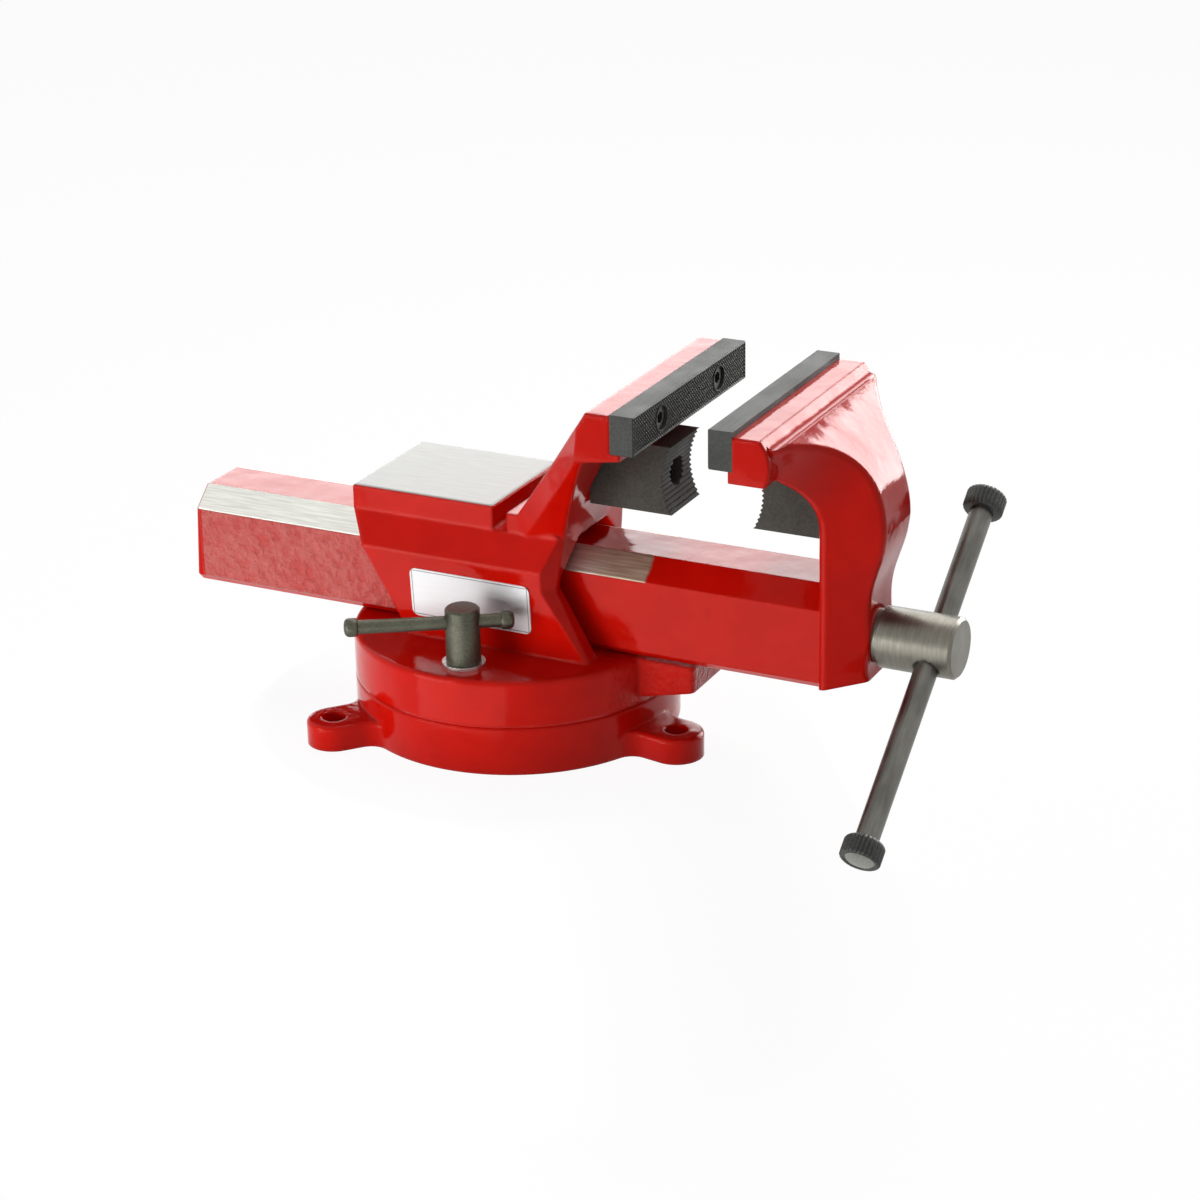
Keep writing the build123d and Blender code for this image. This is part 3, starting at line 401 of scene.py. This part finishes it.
cap_steel = steel("cap_steel", (0.044, 0.045, 0.042, 1), (0.088, 0.090, 0.084, 1), 0.44, metallic=0.6)
dome_steel = steel("dome_steel", (0.20, 0.20, 0.18, 1), (0.32, 0.32, 0.29, 1), 0.36, metallic=0.9)
lock_steel = steel("lock_steel", (0.065, 0.065, 0.048, 1), (0.12, 0.12, 0.090, 1), 0.38, metallic=0.75)
zinc_steel = steel("zinc_steel", (0.55, 0.55, 0.53, 1), (0.72, 0.72, 0.70, 1), 0.30)
label = label_finish()

FINISHES = {
    "swivel_base": paint_base,
    "rear_body": paint_fixed,
    "sliding_jaw": paint_moving,
    "name_plate": label,
    "fixed_pipe_jaw": pipe_steel,
    "moving_pipe_jaw": pipe_steel,
    "handle_bar": bar_steel,
    # the thrust washer takes the dark turned steel rather than zinc, as painted shade where the screw's head meets the
    # arm
    "thrust_washer": turned_steel,
    "lock_washer_near": zinc_steel,
    "lock_washer_far": zinc_steel,
    "lock_nut_near": lock_steel,
    "lock_nut_far": lock_steel,
    "lock_lever_near": lock_steel,
    "lock_lever_far": lock_steel,
    "lead_nut": turned_steel,
    "screw_collar": turned_steel,
    "collar_pin": turned_steel,
    "pivot_pin": turned_steel,
    "lock_stud_near": turned_steel,
    "lock_stud_far": turned_steel,
}
for name, cad_node in nodes.items():
    cad_node.data.materials.clear()
    cad_node.data.materials.append(FINISHES.get(name, dark_steel))


def serrated_plate(node, facing, body):
    """A jaw plate whose face has crossed grooves.

    The face is a height over Y and Z: two families of slanted triangle waves, of which the deeper one counts,
    so that pyramids stand between the grooves. The outermost ring of points drops back as the edge's chamfer,
    the ring is carried to the back of the plate, and each screw hole is a profile turned about its axis.
    """
    low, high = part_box(node)
    face_x = high.x if facing > 0 else low.x
    back_x = low.x if facing > 0 else high.x
    across = np.linspace(low.y + PLATE_EDGE, high.y - PLATE_EDGE, PLATE_COLUMNS)
    upright = np.linspace(low.z + PLATE_EDGE, high.z - PLATE_EDGE, PLATE_ROWS)
    across = np.concatenate([[low.y], across, [high.y]])
    upright = np.concatenate([[low.z], upright, [high.z]])
    y, z = np.meshgrid(across, upright)
    first = np.abs(((y + z) / SERRATION_PITCH) % 1 - 0.5) * 2
    second = np.abs(((y - z) / SERRATION_PITCH) % 1 - 0.5) * 2
    groove = SERRATION_DEPTH * np.maximum(first, second)
    margin = np.minimum(np.minimum(y - low.y, high.y - y), np.minimum(z - low.z, high.z - z))
    groove *= np.clip((margin - PLATE_EDGE) / SERRATION_FADE, 0, 1)
    depth = np.where(margin < PLATE_EDGE / 2, PLATE_EDGE, groove)
    points = np.stack([face_x - facing * depth, y, z], -1)
    rows, columns = y.shape
    faces = grid_faces(rows, columns)
    holes = [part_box(node.replace("plate", "screw_" + side)) for side in ("near", "far")]
    holes = [(a + b) / 2 for a, b in holes]
    centre = points.reshape(-1, 3)[faces].mean(1)
    away = np.min([np.hypot(centre[:, 1] - h.y, centre[:, 2] - h.z) for h in holes], axis=0)
    faces = faces[away > PLATE_HOLE_CUT]
    index = np.arange(rows * columns).reshape(rows, columns)
    rim = np.concatenate([index[0, :-1], index[:-1, -1], index[-1, :0:-1], index[:0:-1, 0]])
    back = points.reshape(-1, 3)[rim].copy()
    back[:, 0] = back_x
    behind = rows * columns + np.arange(len(rim))
    wall = np.stack([rim, behind, np.roll(behind, -1), np.roll(rim, -1)], -1)
    parts = [points.reshape(-1, 3), back]
    quads = [faces, wall]
    total = rows * columns + len(rim)
    profile = np.array(PLATE_HOLE) * MM
    for hole in holes:
        radius = np.repeat(profile[:, :1], PLATE_HOLE_COLUMNS, 1)
        sink = np.repeat(profile[:, 1:], PLATE_HOLE_COLUMNS, 1)
        ring = revolved((face_x, hole.y, hole.z), (-facing, 0, 0), sink, radius)
        parts.append(ring.reshape(-1, 3))
        quads.append(grid_faces(len(profile), PLATE_HOLE_COLUMNS, wrap=True) + total)
        total += ring.size // 3
    lid = behind[::-1]
    if facing < 0:
        quads[:2] = [q[:, ::-1] for q in quads[:2]]
        lid = behind
    piece = make_piece(node + "_serrated", np.concatenate(parts), np.concatenate(quads), body,
                       [plate_steel], smooth_deg=20, lids=[lid.tolist()])
    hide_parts(node)


def lead_screw():
    """The screw as a turned surface: a trapezoid thread along a right-hand helix, a journal and a round head.

    The radius at a place x and an angle is the crest's, less a depth that depends only on how far x runs ahead
    of the helix, in pitches. Round the cross hole the head dips by its distance from the handle's axis.
    """
    low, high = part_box("lead_screw")
    _, washer_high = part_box("thrust_washer")
    shoulder = washer_high.x + HEAD_GAP
    head_r = (high.z - low.z) / 2
    handle_low, handle_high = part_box("handle_bar")
    handle_x = (handle_low.x + handle_high.x) / 2
    thread = np.arange(low.x, SCREW_THREAD_END_X, SCREW_STEP)
    journal = np.linspace(SCREW_THREAD_END_X, shoulder - 0.02 * MM, 6)
    head = np.concatenate([[shoulder, shoulder], np.linspace(shoulder + 0.4 * MM, high.x - HEAD_EDGE, HEAD_ROWS)])
    x = np.concatenate([[low.x], thread, journal, head, [high.x, high.x]])
    angle = np.linspace(0, 2 * np.pi, SCREW_COLUMNS, endpoint=False)
    xx, aa = np.meshgrid(x, angle, indexing="ij")
    ahead = (xx / SCREW_PITCH - aa / (2 * np.pi)) % 1
    flank = np.clip((np.abs(ahead - 0.5) - THREAD_HALF_ROOT) / THREAD_FLANK, 0, 1)
    run_in = np.clip((xx - low.x) / THREAD_RUN_IN, THREAD_FIRST_DEPTH, 1)
    run_out = np.clip((SCREW_THREAD_END_X - xx) / THREAD_RUN_OUT, 0, 1)
    radius = SCREW_CREST_R - SCREW_THREAD_DEPTH * (1 - flank) * run_in * run_out
    radius = np.minimum(radius, SCREW_CREST_R - np.clip(SCREW_POINT - (xx - low.x), 0, SCREW_POINT))
    on_head = xx >= shoulder - 1e-9
    radius = np.where(on_head, head_r, radius)
    side, up, _ = axis_frame((1, 0, 0))
    direction = np.array(joint_axis("handle_slide"))
    round_axis = np.cos(aa)[..., None] * side + np.sin(aa)[..., None] * up
    spot = radius[..., None] * round_axis + np.stack([xx - handle_x, 0 * xx, 0 * xx], -1)
    beside = np.linalg.norm(spot - (spot @ direction)[..., None] * direction, axis=-1)
    dip = np.clip((CROSS_HOLE_R - beside) / CROSS_HOLE_SLOPE, 0, 1) * CROSS_HOLE_DIP
    radius = np.where(on_head, radius - dip, radius)
    first_head = len(x) - len(head) - 2
    radius[0] = 0
    radius[first_head] = SCREW_CREST_R
    radius[-2] = head_r - HEAD_EDGE
    radius[-1] = 0
    points = np.stack([xx, np.zeros_like(xx), np.full_like(xx, SCREW_AXIS_Z)], -1) + radius[..., None] * round_axis
    faces = grid_faces(len(x), SCREW_COLUMNS, wrap=True)[:, ::-1]
    piece = make_piece("lead_screw_threaded", points, faces, "screw", [turned_steel])
    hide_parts("lead_screw")


def ribbed_cap(node):
    """A handle cap: a turned profile whose rim is ribbed by a cosine of the angle, with a domed middle."""
    low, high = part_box(node)
    middle = (low + high) / 2
    direction = Vector(joint_axis("handle_slide"))
    outward = direction if middle.z > SCREW_AXIS_Z else -direction
    profile = np.array(HANDLE_CAP) * MM
    columns = RIBS * RIB_COLUMNS
    angle = np.linspace(0, 2 * np.pi, columns, endpoint=False)
    valley = (0.5 - 0.5 * np.cos(RIBS * angle)) ** 1.5
    rim = np.clip((profile[:, 1] - RIB_FOOT_R) / RIB_FADE, 0, 1)
    height = np.repeat(profile[:, :1], columns, 1)
    radius = profile[:, 1:] - RIB_DEPTH * rim[:, None] * valley[None, :]
    points = revolved(middle, outward, height, radius)
    faces = grid_faces(len(profile), columns, wrap=True)[:, ::-1]
    dome = np.repeat(np.arange(len(profile) - 1) >= HANDLE_CAP_DOME, columns)
    piece = make_piece(node + "_ribbed", points, faces, "handle", [cap_steel, dome_steel], dome, 40)
    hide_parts(node)


def lever_cap(node, side):
    """A small cap on a lock lever: a turned profile with a rounded rim and a slightly domed end."""
    low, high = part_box(node)
    nut_low, nut_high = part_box("lock_nut_" + side)
    middle = (low + high) / 2
    direction = Vector(joint_axis("lever_slide_" + side))
    outward = direction if direction.dot(middle - (nut_low + nut_high) / 2) > 0 else -direction
    profile = np.array(LEVER_CAP) * MM
    height = np.repeat(profile[:, :1], LEVER_CAP_COLUMNS, 1)
    radius = np.repeat(profile[:, 1:], LEVER_CAP_COLUMNS, 1)
    points = revolved(middle, outward, height, radius)
    faces = grid_faces(len(profile), LEVER_CAP_COLUMNS, wrap=True)[:, ::-1]
    piece = make_piece(node + "_turned", points, faces, "lever_" + side, [lock_steel], smooth_deg=50)
    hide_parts(node)


serrated_plate("fixed_jaw_plate", 1, "fixed_jaw")
serrated_plate("moving_jaw_plate", -1, "moving_jaw")
lead_screw()
ribbed_cap("handle_cap_upper")
ribbed_cap("handle_cap_lower")
for side in ("near", "far"):
    lever_cap("lever_cap_short_" + side, side)
    lever_cap("lever_cap_long_" + side, side)


def pale_stand():
    """The floor: flat under the base, and lower where the handle swings, as beyond a bench's edge.

    A turned surface whose height falls along a smooth step of the distance from the swivel axis.
    """
    on_step = np.linspace(STAND_FLAT_R, STAND_FLAT_R + 1.1 * STAND_STEP_W, 24)
    distance = np.concatenate([[0.0], on_step, [0.4, 0.8, 1.6, 3.2, 6.0]])
    step = np.clip((distance - STAND_FLAT_R) / STAND_STEP_W, 0, 1)
    fall = -STAND_DROP * step * step * (3 - 2 * step) - STAND_GAP
    height = np.repeat(fall[:, None], STAND_COLUMNS, 1)
    radius = np.repeat(distance[:, None], STAND_COLUMNS, 1)
    points = revolved((0, 0, 0), (0, 0, 1), height, radius)
    mesh = bpy.data.meshes.new("pale_stand")
    mesh.from_pydata(points.reshape(-1, 3), [], grid_faces(len(distance), STAND_COLUMNS, wrap=True).tolist())
    mesh.validate()
    mesh.shade_smooth()
    floor = bpy.data.objects.new("pale_stand", mesh)
    bpy.context.scene.collection.objects.link(floor)
    mesh.materials.append(white_where_seen("pale_floor"))


def seen_directly(tree):
    """1 for the rays of the camera and of reflections, which then meet plain white."""
    path = tree.nodes.new("ShaderNodeLightPath")
    either = tree.nodes.new("ShaderNodeMath")
    either.operation = "MAXIMUM"
    tree.links.new(path.outputs["Is Camera Ray"], either.inputs[0])
    tree.links.new(path.outputs["Is Glossy Ray"], either.inputs[1])
    return either.outputs[0]


def white_where_seen(name):
    """Pale floor: plain diffuse for the light that it throws back, and near white with shadows where it is seen."""
    f = Finish(name)
    pale = f.add("BsdfDiffuse", {"Color": FLOOR_PALE}).outputs[0]
    shade = f.add("BsdfDiffuse", {"Color": FLOOR_SHADE}).outputs[0]
    glow = f.add("Emission", {"Color": WHITE, "Strength": FLOOR_GLOW}).outputs[0]
    seen = f.add("AddShader", {0: shade, 1: glow}).outputs[0]
    surface = f.add("MixShader", {0: seen_directly(f.tree), 1: pale, 2: seen}).outputs[0]
    f.add("OutputMaterial", {"Surface": surface})
    return f.material


def add_camera():
    """The fitted camera: turned and raised about the object, rolled, and set so that the origin falls where it does."""
    turn, rise, roll = (math.radians(a) for a in (CAMERA_TURN_DEG, CAMERA_RISE_DEG, CAMERA_ROLL_DEG))
    back = Vector((math.sin(turn) * math.cos(rise), -math.cos(turn) * math.cos(rise), math.sin(rise)))
    level = Vector((math.cos(turn), math.sin(turn), 0))
    upward = back.cross(level)
    right = level * math.cos(roll) + upward * math.sin(roll)
    up = upward * math.cos(roll) - level * math.sin(roll)
    width = CAMERA_DISTANCE * SENSOR_MM / CAMERA_LENS_MM
    across, above = (share * width for share in ORIGIN_IN_FRAME)
    data = bpy.data.cameras.new("camera")
    data.lens = CAMERA_LENS_MM
    data.sensor_width = SENSOR_MM
    data.clip_end = 50
    camera = bpy.data.objects.new("camera", data)
    place = Matrix((right, up, back)).transposed().to_4x4()
    place.translation = back * CAMERA_DISTANCE - right * across - up * above
    camera.matrix_world = place
    bpy.context.scene.collection.objects.link(camera)
    bpy.context.scene.camera = camera


def add_softbox(name, place, size, power, gloss_only=False):
    """An area lamp of a width and a height that faces the object; gloss_only leaves it to mirrored light alone."""
    data = bpy.data.lights.new(name, "AREA")
    data.shape = "RECTANGLE"
    data.size, data.size_y = size
    data.energy = power
    lamp = bpy.data.objects.new(name, data)
    lamp.location = place
    lamp.visible_diffuse = not gloss_only
    lamp.rotation_mode = "QUATERNION"
    lamp.rotation_quaternion = (Vector(LAMP_AIM) - Vector(place)).to_track_quat("-Z", "Y")
    bpy.context.scene.collection.objects.link(lamp)


def add_world():
    """Soft light from all round, plain white where it is seen or mirrored."""
    world = bpy.data.worlds.new("studio")
    world.use_nodes = True
    tree = world.node_tree
    tree.nodes.clear()
    soft = tree.nodes.new("ShaderNodeBackground")
    soft.inputs["Strength"].default_value = SOFT_LIGHT
    white = tree.nodes.new("ShaderNodeBackground")
    white.inputs["Strength"].default_value = 1.0
    for background in (soft, white):
        background.inputs["Color"].default_value = WHITE
    mix = tree.nodes.new("ShaderNodeMixShader")
    tree.links.new(seen_directly(tree), mix.inputs[0])
    tree.links.new(soft.outputs[0], mix.inputs[1])
    tree.links.new(white.outputs[0], mix.inputs[2])
    output = tree.nodes.new("ShaderNodeOutputWorld")
    tree.links.new(mix.outputs[0], output.inputs[0])
    bpy.context.scene.world = world


pale_stand()
add_camera()
add_world()
add_softbox("gloss_behind", (0.68, 1.27, 0.54), (0.85, 0.85), 27, gloss_only=True)
add_softbox("gloss_back_wall", (-0.83, 1.46, 0.73), (1.1, 1.1), 13, gloss_only=True)
add_softbox("softbox_over", (0.10, 0.90, 1.60), (1.0, 1.0), 14)
add_softbox("softbox_front", (-0.80, -1.40, 0.15), (0.9, 0.5), 10.5)
add_softbox("softbox_low", (-0.07, -0.40, -0.05), (0.44, 0.19), 0.45)

bpy.context.scene.view_settings.view_transform = "Standard"
